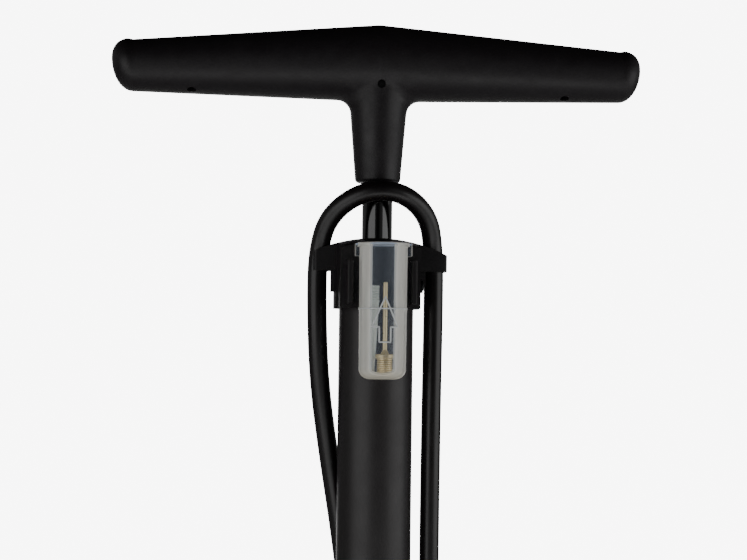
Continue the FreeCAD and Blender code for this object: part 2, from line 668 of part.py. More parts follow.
def handle():
    middle = Part.makeSphere(HANDLE_MID_R, V(0, 0, HANDLE_AXIS_Z), X_AXIS)
    stem = Part.makeCone(STEM_BOTTOM_R, STEM_TOP_R, HANDLE_AXIS_Z - STEM_BOTTOM_Z, V(0, 0, STEM_BOTTOM_Z))
    stem = rounded(stem, 2.0, flat_at(STEM_BOTTOM_Z))
    outer = rounded(fused(middle, arm(), mirrored(arm()), stem), 7.0, stem_joint_edge)
    outer = fused(outer, arm_end(), mirrored(arm_end()))
    hollow = arm(HANDLE_WALL).cut(box(-40, 27, -30, 30, 560, 670))
    lean = math.radians(24)
    down = V(0, -math.sin(lean), -math.cos(lean))
    start = V(DRAIN_HOLE_X, 0, arm_height(DRAIN_HOLE_X))
    hollow = hollow.fuse(rod(DRAIN_HOLE_R, start, start + down * 30))
    outer = outer.cut(hollow).cut(mirrored(hollow))
    outer = outer.cut(upright(ROD_R + FIT_GAP, STEM_BOTTOM_Z - 1, ROD_TOP_Z + 0.5))
    return outer.cut(rod(2.1, V(0, -30, 620), V(0, 30, 620)))


def stem_joint_edge(edge):
    """The edge where the arms run into the stem."""
    b = edge.BoundBox
    return b.ZMin > 600 and b.ZMax < HANDLE_AXIS_Z - 3 and abs(b.Center.x) < 25 and b.XLength > 1


def handle_pin():
    return rod(2.08, V(0, -14.0, 620), V(0, 14.0, 620))


def piston_rod():
    body = ring(ROD_R, ROD_BORE_R, PISTON_TOP_Z + 0.2, ROD_TOP_Z)
    return body.cut(rod(2.1, V(0, -30, 620), V(0, 30, 620)))


def rod_end_plug():
    """Turned plug pressed in the foot of the rod. The piston turns on its neck."""
    plug = upright(ROD_BORE_R - 0.01, PISTON_TOP_Z + 0.2, PISTON_TOP_Z + 26)
    neck = upright(3.95, PISTON_BOTTOM_Z + 3, PISTON_TOP_Z + 1)
    return fused(plug, neck)


def piston_nut():
    hexagon = Part.Face(Part.makePolygon([
        V(7.2 * math.cos(math.radians(60 * i)), 7.2 * math.sin(math.radians(60 * i)), 0) for i in range(7)
    ])).extrude(V(0, 0, 4.4))
    hexagon.translate(V(0, 0, PISTON_BOTTOM_Z + 1.2))
    return hexagon.cut(upright(3.97, 0, 100))


def piston():
    body = upright(PISTON_R, PISTON_BOTTOM_Z, PISTON_TOP_Z)
    body = rounded(body, 0.8, lambda e: True)
    body = body.cut(ring(20, 14.2, PISTON_BOTTOM_Z + 3.4, PISTON_BOTTOM_Z + 6.8))
    body = body.cut(ring(20, 15.6, PISTON_BOTTOM_Z + 10.5, PISTON_BOTTOM_Z + 15.5))
    body = body.cut(upright(8.2, 0, PISTON_BOTTOM_Z + 6.0))
    return body.cut(upright(3.95 + RUNNING_GAP, 0, 100))


def piston_wear_ring():
    band = ring(PISTON_R + 0.22, 15.65, PISTON_BOTTOM_Z + 10.6, PISTON_BOTTOM_Z + 15.4)
    return band.cut(box(0, 30, -0.5, 0.5, 0, 100))


def top_out_bumper():
    body = ring(12.5, ROD_R + 0.25, PISTON_TOP_Z + 0.1, BUMPER_TOP_Z)
    return rounded(body, 1.5, flat_at(BUMPER_TOP_Z, 12))


# ---------------------------------------------------------------- head and dock
def head_body():
    neck = upright(7.2, HEAD_Z, HEAD_NECK_TOP_Z, 0, HEAD_Y)
    neck = rounded(neck, 0.8, flat_at(HEAD_NECK_TOP_Z))
    chamber = rod(10.5, V(0, PORT_FACE_Y + 3.1, HEAD_Z), V(0, 50.0, HEAD_Z))
    cheeks = box(-9.2, 9.2, 40.0, 58.6, HEAD_Z - 7.6, HEAD_Z + 7.6)
    cheeks = rounded(cheeks, 3.4, lambda e: e.BoundBox.XLength > 10 and e.BoundBox.YMin > 50)
    body = fused(neck, chamber, cheeks)
    body = rounded(body, 2.0, lambda e: abs(e.BoundBox.Center.z - HEAD_Z - 9) < 3 and e.BoundBox.XLength > 8)
    body = body.cut(rod(7.0, V(0, 20, HEAD_Z), V(0, 49.0, HEAD_Z)))
    slot = LEVER_HALF_WIDTH + CLEARANCE
    body = body.cut(box(-slot, slot, 46.6, 70, HEAD_Z - 12, HEAD_Z + 12))
    body = body.cut(rod(1.5, V(-20, LEVER_PIVOT_Y, HEAD_Z), V(20, LEVER_PIVOT_Y, HEAD_Z)))
    return body.cut(upright(2.0, HEAD_Z, HEAD_NECK_TOP_Z + 1, 0, HEAD_Y))


def head_port_cap():
    """Knurled screw cap that holds the rubber seal in the head."""
    cap = Part.makeCylinder(12.2, 6.0, V(0, 0, 0))
    cap = rounded(cap, 1.2, flat_at(0.0))
    cap = cap.cut(Part.makeCylinder(10.5 + FIT_GAP, 10, V(0, 0, 3.0)))
    cap = cap.cut(Part.makeCylinder(4.7, 10, V(0, 0, -1)))
    cap = fluted(cap, 20, 13.1, 1.5, 1.4, 5.4)
    cap.Placement = FreeCAD.Placement(V(0, PORT_FACE_Y, HEAD_Z), FreeCAD.Rotation(X_AXIS, -90))
    return cap


def head_seal():
    return tube(6.9, PEG_R + 0.1, V(0, PORT_FACE_Y + 3.1, HEAD_Z), V(0, 39.5, HEAD_Z))


def head_plunger():
    """Presses the rubber seal when the lever's cam turns towards it."""
    body = tube(6.9, 1.6, V(0, 39.7, HEAD_Z), V(0, 44.5, HEAD_Z))
    nose = rod(4.6, V(0, 44.5, HEAD_Z), V(0, LEVER_PIVOT_Y - CAM_R - CAM_OFFSET - 0.45, HEAD_Z))
    return fused(body, nose.cut(rod(1.6, V(0, 40, HEAD_Z), V(0, 46, HEAD_Z))))


def head_lever():
    w = LEVER_HALF_WIDTH
    pivot = V(0, LEVER_PIVOT_Y, HEAD_Z)
    cam_centre = pivot - V(0, CAM_OFFSET, 0)
    cam = rod(CAM_R, cam_centre - V(w, 0, 0), cam_centre + V(w, 0, 0))
    root = box(-w, w, LEVER_PIVOT_Y - 2.0, LEVER_PIVOT_Y + 5.4, HEAD_Z - 14, HEAD_Z + 1.5)
    outline = [(51.5, 137.5), (59.4, 137.5), (60.6, 112), (63.5, 99), (60.2, 98), (55.8, 112)]
    profile = [V(0, y, z) for y, z in outline]
    paddle = Part.Face(Part.makePolygon(profile + profile[:1])).extrude(V(17, 0, 0))
    paddle.translate(V(-8.5, 0, 0))
    paddle = rounded(paddle, 2.2, lambda e: e.BoundBox.XLength < 1 and e.BoundBox.ZLength > 5)
    paddle = rounded(paddle, 0.9, lambda e: e.BoundBox.XLength > 12)
    lever = fused(cam, root, paddle)
    for i in range(4):
        z = 103 + 3.4 * i
        lever = lever.cut(rod(0.55, V(-6.5, 63.3 - 0.22 * (z - 99), z), V(6.5, 63.3 - 0.22 * (z - 99), z)))
    return lever.cut(rod(1.5 + RUNNING_GAP, pivot - V(20, 0, 0), pivot + V(20, 0, 0)))


def head_lever_pin():
    return rod(1.49, V(-9.4, LEVER_PIVOT_Y, HEAD_Z), V(9.4, LEVER_PIVOT_Y, HEAD_Z))


def head_dock():
    """Band round the barrel with a peg that the head's port pushes on to, and clamp ears at the front."""
    low, high = HEAD_Z - 10, HEAD_Z + 10
    band = ring(21.9, SOCKET_R, low, high)
    band = rounded(rounded(band, 0.8, flat_at(low, 21)), 0.8, flat_at(high, 21))
    boss = rod(6.4, V(0, BARREL_R + 1, HEAD_Z), V(0, 23.9, HEAD_Z))
    peg = rod(PEG_R, V(0, 22, HEAD_Z), V(0, 38.4, HEAD_Z))
    peg = rounded(peg, 1.2, lambda e: e.BoundBox.YMin > 38)
    ears = box(-5.2, 5.2, -31.0, -20.0, HEAD_Z - 6, HEAD_Z + 6)
    ears = rounded(ears, 4.0, lambda e: e.BoundBox.XLength > 8 and e.BoundBox.YMax < -30)
    body = fused(band, boss, peg, ears)
    body = body.cut(box(-1.2, 1.2, -40, -10, low - 1, high + 1)).cut(upright(SOCKET_R, 0, 300))
    return body.cut(rod(2.05, V(-20, -26, HEAD_Z), V(20, -26, HEAD_Z)))


def dock_screw():
    shank = rod(2.0, V(-5.2, -26, HEAD_Z), V(7.6, -26, HEAD_Z))
    head = rod(3.5, V(-8.0, -26, HEAD_Z), V(-5.2, -26, HEAD_Z))
    head = rounded(head, 0.9, lambda e: e.BoundBox.XMax < -7.9)
    socket = rod(1.5, V(-9, -26, HEAD_Z), V(-6.6, -26, HEAD_Z))
    return fused(head.cut(socket), shank)


def dock_nut():
    angles = [math.radians(60 * i) for i in range(7)]
    corners = [V(0, 3.8 * math.cos(a), 3.8 * math.sin(a)) for a in angles]
    nut = Part.Face(Part.makePolygon(corners)).extrude(V(2.6, 0, 0))
    nut.translate(V(5.2, -26, HEAD_Z))
    return nut.cut(rod(2.01, V(0, -26, HEAD_Z), V(20, -26, HEAD_Z)))


# ---------------------------------------------------------------- hose
HOSE_ROUTE = [
    (34.0, 4.0, 61.0), (34.0, 4.0, 100.0), (32.4, 3.4, 168.0), (29.6, 2.9, 262.0),
    (28.8, 2.6, 366.0), (29.1, 2.3, 452.0), (29.7, 2.1, 506.0), (29.6, 1.9, 536.0),
    (25.6, -6.0, 554.9), (10.2, -15.8, 566.2), (-9.4, -15.8, 565.6), (-25.2, -6.0, 553.8),
    (-30.1, 1.9, 536.0), (-30.3, 2.9, 508.0), (-28.3, 7.4, 470.0), (-22.5, 14.0, 432.0),
    (-15.0, 21.0, 390.0), (-7.9, 27.0, 338.0), (-2.2, 31.5, 280.0), (0.6, 35.8, 228.0),
    (0.0, 38.0, 196.0), (0.0, 38.0, 176.0),
]


def hose_tube(radius):
    """The air hose's route as one tube: straight runs joined by tangent arcs."""
    points = [V(*p) for p in HOSE_ROUTE]
    corners = []
    bends = []
    for before, at, after in zip(points, points[1:], points[2:]):
        arrive, leave = at - before, after - at
        turn = arrive.getAngle(leave)
        run = min(arrive.Length, leave.Length)
        if turn < 1e-4:
            continue
        tangent = 0.45 * run
        start = at - arrive.normalize() * tangent
        end = at + leave.normalize() * tangent
        bisector = (start + end) * 0.5 - at
        arc_r = tangent / math.tan(turn / 2)
        bends.append((round(math.degrees(turn)), round(arc_r)))
        reach = math.hypot(arc_r, tangent) - arc_r
        corners.append((start, at + bisector.normalize() * reach, end))
    edges = []
    last = points[0]
    for start, middle, end in corners:
        edges.append(Part.makeLine(last, start))
        edges.append(Part.Arc(start, middle, end).toShape())
        last = end
    edges.append(Part.makeLine(last, points[-1]))
    path = Part.Wire(edges)
    profile = Part.Wire(Part.makeCircle(radius, points[0], points[1] - points[0]))
    made = path.makePipeShell([profile], True, False)
    expected = math.pi * radius ** 2 * path.Length
    print(f"hose radius {radius}: length {path.Length:.1f}, volume ratio {made.Volume / expected:.4f}")
    print(f"hose (turn in degrees, arc radius): {bends}")
    return made


def hose():
    return hose_tube(HOSE_R)


def outlet_fitting():
    hexagon = Part.Face(Part.makePolygon([
        V(8.0 * math.cos(math.radians(60 * i)), 8.0 * math.sin(math.radians(60 * i)), 0) for i in range(7)
    ])).extrude(V(0, 0, 5.0))
    hexagon.translate(V(OUTLET_X, OUTLET_Y, OUTLET_TOP_Z - 5))
    shank = upright(4.5, OUTLET_TOP_Z - 17, OUTLET_TOP_Z - 5, OUTLET_X, OUTLET_Y)
    return fused(hexagon, shank).cut(upright(1.8, 0, 100, OUTLET_X, OUTLET_Y))


def hose_ferrule(x, y, low):
    """Swaged sleeve with three crimp grooves and a rounded mouth."""
    body = ring(FERRULE_R, HOSE_R + 0.12, low, low + FERRULE_LENGTH, x, y)
    body = rounded(body, 0.7, flat_at(low + FERRULE_LENGTH, 6))
    for i in range(3):
        groove = Part.makeTorus(FERRULE_R + 0.25, 0.9, V(x, y, low + 4.5 + 4.5 * i), Z_AXIS)
        body = body.cut(groove)
    return body


def hose_base_ferrule():
    return hose_ferrule(OUTLET_X, OUTLET_Y, OUTLET_TOP_Z)


def hose_head_ferrule():
    return hose_ferrule(0, HEAD_Y, HEAD_NECK_TOP_Z)


# ---------------------------------------------------------------- output
def nodes():
    grip = foot_grip()
    return {
        "base": base(),
        "base_plate": base_plate(),
        "base_feet": base_feet(),
        "base_screws": base_screws(),
        "foot_grip_right": grip,
        "foot_grip_left": mirrored(grip),
        "barrel": barrel(),
        "barrel_lock_ring": barrel_lock_ring(),
        "valve_block": valve_block(),
        "barrel_seal": o_ring(BARREL_BORE_R - 0.05, 1.35, 37.7),
        "check_valve_spring": check_valve_spring(),
        "check_valve_ball": check_valve_ball(),
        "gauge_case": gauge_case(),
        "gauge_movement": gauge_movement(),
        "gauge_stem": gauge_stem(),
        "gauge_dial": gauge_dial(),
        "gauge_needle": gauge_needle(),
        "gauge_lens": gauge_lens(),
        "gauge_bezel": gauge_bezel(),
        "collar": collar(),
        "collar_screws": collar_screws(),
        "rod_bushing": rod_bushing(),
        "rod_wiper": rod_wiper(),
        "accessory_case": accessory_case(),
        "ball_needle": ball_needle(),
        "cone_adapter": cone_adapter(),
        "handle": handle(),
        "handle_pin": handle_pin(),
        "piston_rod": piston_rod(),
        "rod_end_plug": rod_end_plug(),
        "piston_nut": piston_nut(),
        "piston": piston(),
        "piston_seal": o_ring(BARREL_BORE_R - 0.05, 1.6, PISTON_BOTTOM_Z + 5.1),
        "piston_wear_ring": piston_wear_ring(),
        "top_out_bumper": top_out_bumper(),
        "head_body": head_body(),
        "head_port_cap": head_port_cap(),
        "head_seal": head_seal(),
        "head_plunger": head_plunger(),
        "head_lever": head_lever(),
        "head_lever_pin": head_lever_pin(),
        "head_dock": head_dock(),
        "dock_screw": dock_screw(),
        "dock_nut": dock_nut(),
        "hose": hose(),
        "outlet_fitting": outlet_fitting(),
        "hose_base_ferrule": hose_base_ferrule(),
        "hose_head_ferrule": hose_head_ferrule(),
    }


os.makedirs("parts", exist_ok=True)
print(f"stroke {STROKE:.1f}")
for name, shape in nodes().items():
    solids = shape.Solids
    whole = solids[0] if len(solids) == 1 else Part.makeCompound(solids)
    if not whole.isValid() or any(s.Volume <= 0 for s in solids):
        print(f"BAD {name}: valid {whole.isValid()}, volumes {[round(s.Volume, 2) for s in solids]}")
    whole.exportStep(f"parts/{name}.step")
    print(f"{name}: {len(solids)} solids, {whole.Volume:.0f} mm3")
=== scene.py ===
import bpy
import bmesh
import json
import math
from mathutils import Euler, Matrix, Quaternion, Vector


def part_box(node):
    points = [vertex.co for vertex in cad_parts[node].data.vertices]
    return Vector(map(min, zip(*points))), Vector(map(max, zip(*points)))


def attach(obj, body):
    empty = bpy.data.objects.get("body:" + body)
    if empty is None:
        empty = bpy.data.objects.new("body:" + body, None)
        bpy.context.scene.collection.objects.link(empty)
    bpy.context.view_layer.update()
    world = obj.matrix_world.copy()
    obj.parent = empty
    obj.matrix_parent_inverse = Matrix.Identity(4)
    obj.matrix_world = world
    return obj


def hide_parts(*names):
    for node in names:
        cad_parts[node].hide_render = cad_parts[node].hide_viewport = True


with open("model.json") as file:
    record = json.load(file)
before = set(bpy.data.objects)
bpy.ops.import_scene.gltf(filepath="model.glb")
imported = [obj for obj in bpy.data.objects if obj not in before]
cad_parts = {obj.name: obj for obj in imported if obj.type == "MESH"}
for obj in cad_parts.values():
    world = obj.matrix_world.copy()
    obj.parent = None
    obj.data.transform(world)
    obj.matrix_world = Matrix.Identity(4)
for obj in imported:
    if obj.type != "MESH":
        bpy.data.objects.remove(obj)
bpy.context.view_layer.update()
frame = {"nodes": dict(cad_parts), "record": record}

# ---------------------------------------------------------------- sizes, in metres
HOSE_DIAMETER = 0.0101

(_, _, CASE_FLOOR), (_, _, CASE_TOP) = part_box("accessory_case")
CASE_AXIS = (0.0, -0.0345, 0.0)
CASE_RADIUS = 0.0120
CASE_TAPER = 0.0004         # how much narrower the case is at its floor
CASE_WARM_BELOW = CASE_FLOOR + 0.006
CASE_FLOOR_THICK = 0.0026
RIM_FROM = CASE_TOP - 0.0013
RIM_TO = CASE_TOP - 0.0009
FIN_TOP = 0.5298            # the side fins end here, below the rim
FIN_FADE = 0.0003

GAUGE_CENTRE = Vector((0.0, -0.054, 0.052))
GAUGE_TILT = math.radians(50)
DIAL_FACE = -0.0043         # the dial's front, along the gauge's axis
DIAL_START = math.radians(225)
DIAL_SWEEP = math.radians(270)
DIAL_STEPS = 8
MARKS_PER_STEP = 5
MARK_OUTER = 0.0232
FIGURE_RADIUS = 0.0158
FIGURE_SIZE = 0.0042
BAND_FROM = 0.62            # share of the scale where the coloured band starts
BAND_INNER = 0.0238
BAND_OUTER = 0.0250
BAND_PIECES = 24

BACKDROP_GLOW = 8.0         # the white backdrop, as the camera sees it
FLOOR_GLOW = 0.9            # the floor under the pump, as the camera sees it
FLOOR_NEAR = 0.35           # the floor brightens to the backdrop between these distances
FLOOR_FAR = 2.4
ROOM_GLOW = 0.10            # the room's walls, as the pump sees them
CEILING_GLOW = 0.015        # and its ceiling

# ---------------------------------------------------------------- camera
# The lens stands a metre from the barrel, a little to the left, at the height of the adapter case.
CAMERA_DISTANCE = 1.0
CAMERA_AZIMUTH = math.radians(-5.6)
CAMERA_HEIGHT = 0.4856
CAMERA_PITCH = math.radians(2.05)
CAMERA_ROLL = math.radians(0.68)
CAMERA_LENS = 94.4
CAMERA_AIM_LEFT = math.radians(0.085)


def make_camera():
    data = bpy.data.cameras.new("camera")
    data.lens = CAMERA_LENS
    data.sensor_width = 36.0
    camera = bpy.data.objects.new("camera", data)
    bpy.context.collection.objects.link(camera)
    camera.location = (
        math.sin(CAMERA_AZIMUTH) * CAMERA_DISTANCE,
        -math.cos(CAMERA_AZIMUTH) * CAMERA_DISTANCE,
        CAMERA_HEIGHT,
    )
    turn = Quaternion((0, 0, 1), CAMERA_AZIMUTH + CAMERA_AIM_LEFT)
    tilt = Quaternion((1, 0, 0), math.radians(90) + CAMERA_PITCH)
    roll = Quaternion((0, 0, 1), CAMERA_ROLL)
    camera.rotation_mode = "QUATERNION"
    camera.rotation_quaternion = turn @ tilt @ roll
    bpy.context.scene.camera = camera


make_camera()

# ---------------------------------------------------------------- hose
HOSE_ROUTE = [
    (0.0340, 0.0040, 0.0610), (0.0340, 0.0040, 0.1000), (0.0324, 0.0034, 0.1680),
    (0.0296, 0.0029, 0.2620), (0.0288, 0.0026, 0.3660), (0.0291, 0.0023, 0.4520),
    (0.0297, 0.0021, 0.5060), (0.0296, 0.0019, 0.5360), (0.0256, -0.0060, 0.5549),
    (0.0102, -0.0158, 0.5662), (-0.0094, -0.0158, 0.5656), (-0.0252, -0.0060, 0.5538),
    (-0.0301, 0.0019, 0.5360), (-0.0303, 0.0029, 0.5080), (-0.0283, 0.0074, 0.4700),
    (-0.0225, 0.0140, 0.4320), (-0.0150, 0.0210, 0.3900), (-0.0079, 0.0270, 0.3380),
    (-0.0022, 0.0315, 0.2800), (0.0006, 0.0358, 0.2280), (0.0000, 0.0380, 0.1960),
    (0.0000, 0.0380, 0.1760),
]


def make_hose():
    curve = bpy.data.curves.new("air_hose", "CURVE")
    curve.dimensions = "3D"
    spline = curve.splines.new("NURBS")
    spline.points.add(len(HOSE_ROUTE) - 1)
    for point, place in zip(spline.points, HOSE_ROUTE):
        point.co = (*place, 1.0)
        point.radius = HOSE_DIAMETER / 2
    spline.order_u = 3
    spline.use_endpoint_u = True
    spline.resolution_u = 24
    # The curve's box counts the points' radii, so they carry the true size and the bevel is 1.
    curve.bevel_depth = 1.0
    curve.bevel_resolution = 10
    curve.use_fill_caps = True
    obj = bpy.data.objects.new("air_hose", curve)
    bpy.context.collection.objects.link(obj)
    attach(obj, "frame")
    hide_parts("hose")
    return obj


hose = make_hose()


# ---------------------------------------------------------------- material helpers
class Nodes:
    """A material's node tree, with short calls for the few kinds of node that the finishes use."""

    def __init__(self, name):
        self.material = bpy.data.materials.new(name)
        self.material.use_nodes = True
        self.tree = self.material.node_tree
        self.shader = self.tree.nodes["Principled BSDF"]
        self.place = self.tree.nodes.new("ShaderNodeTexCoord").outputs["Object"]

    def link(self, source, target):
        self.tree.links.new(source, target)

    def set(self, **values):
        names = {
            "colour": "Base Color", "rough": "Roughness", "metal": "Metallic", "ior": "IOR",
            "transmission": "Transmission Weight", "coat": "Coat Weight",
            "coat_rough": "Coat Roughness", "alpha": "Alpha", "specular": "Specular IOR Level",
            "scatter": "Subsurface Weight", "scatter_scale": "Subsurface Scale",
        }
        for key, value in values.items():
            if key == "colour":
                value = (*value, 1.0)
            self.shader.inputs[names[key]].default_value = value

    def stretched(self, scale):
        """Object coordinates, scaled differently along each axis."""
        node = self.tree.nodes.new("ShaderNodeMapping")
        node.inputs["Scale"].default_value = scale
        self.link(self.place, node.inputs["Vector"])
        return node.outputs["Vector"]

    def noise(self, scale, detail=3.0, rough=0.55, place=None):
        node = self.tree.nodes.new("ShaderNodeTexNoise")
        node.inputs["Scale"].default_value = scale
        node.inputs["Detail"].default_value = detail
        node.inputs["Roughness"].default_value = rough
        self.link(place or self.place, node.inputs["Vector"])
        return node.outputs["Fac"]

    def cells(self, scale):
        node = self.tree.nodes.new("ShaderNodeTexVoronoi")
        node.inputs["Scale"].default_value = scale
        self.link(self.place, node.inputs["Vector"])
        return node.outputs["Distance"]

    def remap(self, source, low, high, from_low=0.0, from_high=1.0):
        node = self.tree.nodes.new("ShaderNodeMapRange")
        node.inputs["From Min"].default_value = from_low
        node.inputs["From Max"].default_value = from_high
        node.inputs["To Min"].default_value = low
        node.inputs["To Max"].default_value = high
        self.link(source, node.inputs["Value"])
        return node.outputs["Result"]

    def mix(self, fac, a, b):
        node = self.tree.nodes.new("ShaderNodeMix")
        node.data_type = "RGBA"
        self.link(fac, node.inputs["Factor"])
        for value, socket in ((a, node.inputs[6]), (b, node.inputs[7])):
            if isinstance(value, tuple):
                socket.default_value = (*value, 1.0)
            else:
                self.link(value, socket)
        return node.outputs[2]

    def arithmetic(self, operation, a, b):
        node = self.tree.nodes.new("ShaderNodeMath")
        node.operation = operation
        self.link(a, node.inputs[0])
        self.link(b, node.inputs[1])
        return node.outputs[0]

    def times(self, a, b):
        return self.arithmetic("MULTIPLY", a, b)

    def larger(self, a, b):
        return self.arithmetic("MAXIMUM", a, b)

    def worn_edges(self, low=0.52, high=0.60):
        """1 on sharp outer edges, 0 elsewhere."""
        node = self.tree.nodes.new("ShaderNodeNewGeometry")
        return self.remap(node.outputs["Pointiness"], 0.0, 1.0, low, high)

    def edge_on(self):
        """0 where a surface faces the eye, 1 where it is seen edge on."""
        node = self.tree.nodes.new("ShaderNodeLayerWeight")
        node.inputs["Blend"].default_value = 0.5
        return node.outputs["Facing"]

    def ramp(self, source, stops):
        """A grey curve through (position, value) stops."""
        node = self.tree.nodes.new("ShaderNodeValToRGB")
        node.color_ramp.interpolation = "EASE"
        elements = node.color_ramp.elements
        while len(elements) < len(stops):
            elements.new(0.5)
        for element, (position, value) in zip(elements, stops):
            element.position = position
            element.color = (value, value, value, 1.0)
        self.link(source, node.inputs["Fac"])
        return node.outputs["Color"]

    def distance_from(self, axis):
        """Distance from an upright line through the point axis."""
        node = self.tree.nodes.new("ShaderNodeVectorMath")
        node.operation = "DISTANCE"
        node.inputs[1].default_value = axis
        self.link(self.stretched((1, 1, 0)), node.inputs[0])
        return node.outputs["Value"]

    def height(self, start, end):
        """0 at the height start, 1 at the height end."""
        node = self.tree.nodes.new("ShaderNodeSeparateXYZ")
        self.link(self.place, node.inputs[0])
        return self.remap(node.outputs["Z"], 0.0, 1.0, start, end)

    def bump(self, source, depth, strength=1.0):
        node = self.tree.nodes.new("ShaderNodeBump")
        node.inputs["Strength"].default_value = strength
        node.inputs["Distance"].default_value = depth
        self.link(source, node.inputs["Height"])
        if self.shader.inputs["Normal"].links:
            self.link(self.shader.inputs["Normal"].links[0].from_socket, node.inputs["Normal"])
        self.link(node.outputs["Normal"], self.shader.inputs["Normal"])

    def colour(self, source):
        self.link(source, self.shader.inputs["Base Color"])

    def rough(self, source):
        self.link(source, self.shader.inputs["Roughness"])


# ---------------------------------------------------------------- finishes
def moulded_black(name, dark, pale):
    """Satin moulded plastic with a spark-eroded grain and faint flow marks."""
    n = Nodes(name)
    n.set(rough=0.36, specular=0.45)
    n.colour(n.mix(n.noise(38, 4), dark, pale))
    n.rough(n.remap(n.noise(120, 5), 0.40, 0.52, 0.3, 0.7))
    n.bump(n.noise(2600, 2), 0.00004, 0.35)
    n.bump(n.noise(90, 2), 0.0002, 0.05)
    return n.material


def collar_black():
    """Coarser moulded plastic than the handle's."""
    n = Nodes("collar_black")
    n.set(rough=0.5, specular=0.4)
    n.colour(n.mix(n.noise(60, 4), (0.0056, 0.0044, 0.0052), (0.0105, 0.0088, 0.0100)))
    n.rough(n.remap(n.noise(150, 4), 0.44, 0.58, 0.3, 0.7))
    n.bump(n.cells(1500), 0.00005, 0.45)
    return n.material


def barrel_paint():
    """Charcoal satin paint with orange peel."""
    n = Nodes("barrel_paint")
    n.set(rough=0.42, specular=0.5)
    n.colour(n.mix(n.noise(25, 5), (0.0138, 0.0114, 0.0121), (0.0176, 0.0148, 0.0157)))
    n.rough(n.remap(n.noise(70, 5), 0.38, 0.47, 0.3, 0.7))
    n.bump(n.noise(900, 2), 0.00003, 0.35)
    return n.material


def base_black():
    """Powder coat with a fine texture, rubbed paler on its edges."""
    n = Nodes("base_black")
    n.set(rough=0.45)
    coat = n.mix(n.noise(30, 5), (0.010, 0.0098, 0.010), (0.016, 0.0155, 0.016))
    wear = n.times(n.worn_edges(), n.remap(n.noise(160, 4), 0.0, 0.7, 0.45, 0.7))
    n.colour(n.mix(wear, coat, (0.09, 0.088, 0.086)))
    n.rough(n.remap(n.noise(110, 4), 0.40, 0.55, 0.3, 0.7))
    n.bump(n.noise(1300, 3), 0.00008, 0.5)
    return n.material


def rubber(name, dark, pale, grain):
    """Matt rubber with a pebbled grain."""
    n = Nodes(name)
    n.set(rough=0.62, specular=0.35)
    n.colour(n.mix(n.noise(55, 5), dark, pale))
    n.rough(n.remap(n.noise(130, 4), 0.55, 0.74, 0.3, 0.7))
    n.bump(n.cells(grain), 0.00006, 0.4)
    return n.material


def hose_black():
    """Satin hose with faint extrusion lines along it."""
    n = Nodes("hose_black")
    n.set(rough=0.34, specular=0.5)
    n.colour(n.mix(n.noise(45, 4), (0.0044, 0.0030, 0.0034), (0.0082, 0.0062, 0.0068)))
    n.rough(n.remap(n.noise(170, 4, place=n.stretched((1, 1, 0.25))), 0.27, 0.36, 0.3, 0.7))
    n.bump(n.noise(1400, 2, place=n.stretched((1, 1, 0.04))), 0.00004, 0.3)
    return n.material


def rod_black():
    """Black gloss lacquer over a polished rod, with fine marks along the stroke."""
    n = Nodes("rod_black")
    n.set(rough=0.10, specular=0.6, coat=0.5, coat_rough=0.05)
    n.colour(n.mix(n.noise(20, 3), (0.0025, 0.0023, 0.0025), (0.0040, 0.0038, 0.0040)))
    n.rough(n.remap(n.noise(900, 3, place=n.stretched((1, 1, 0.02))), 0.08, 0.17, 0.35, 0.7))
    return n.material


def metal(name, colour, rough=0.28, lines=900, depth=0.00002, axis=(1, 1, 12), share=1.0):
    """Turned or drawn metal: fine tool lines across the axis and a little tarnish."""
    n = Nodes(name)
    n.set(metal=share, rough=rough)
    dull = tuple(c * 0.72 for c in colour)
    n.colour(n.mix(n.noise(140, 4), dull, colour))
    n.rough(n.remap(n.noise(260, 4), rough * 0.75, rough * 1.4, 0.3, 0.7))
    n.bump(n.noise(lines, 2, place=n.stretched(axis)), depth, 0.4)
    return n.material


def black_oxide():
    n = Nodes("black_screw")
    n.set(metal=0.8, rough=0.42)
    n.colour(n.mix(n.noise(300, 4), (0.012, 0.012, 0.013), (0.03, 0.03, 0.031)))
    n.rough(n.remap(n.noise(400, 4), 0.34, 0.52, 0.3, 0.7))
    return n.material


def grey_plastic():
    n = Nodes("grey_plastic")
    n.set(rough=0.45)
    n.colour(n.mix(n.noise(60, 4), (0.038, 0.038, 0.041), (0.052, 0.052, 0.055)))
    n.rough(n.remap(n.noise(200, 4), 0.38, 0.52, 0.3, 0.7))
    n.bump(n.noise(2200, 2), 0.00005, 0.4)
    return n.material


def acetal():
    n = Nodes("acetal_white")
    n.set(rough=0.38, scatter=0.15, scatter_scale=0.002)
    n.colour(n.mix(n.noise(80, 4), (0.70, 0.70, 0.66), (0.80, 0.80, 0.77)))
    n.bump(n.noise(700, 2, place=n.stretched((1, 1, 9))), 0.00003, 0.3)
    return n.material


CASE_WALL = ((0.0, 0.05), (0.12, 0.06), (0.16, 0.55), (0.30, 0.42), (0.60, 0.55), (0.80, 0.9))
CASE_THICK_ALPHA = 0.7
CASE_FIN_ALPHA = 0.12


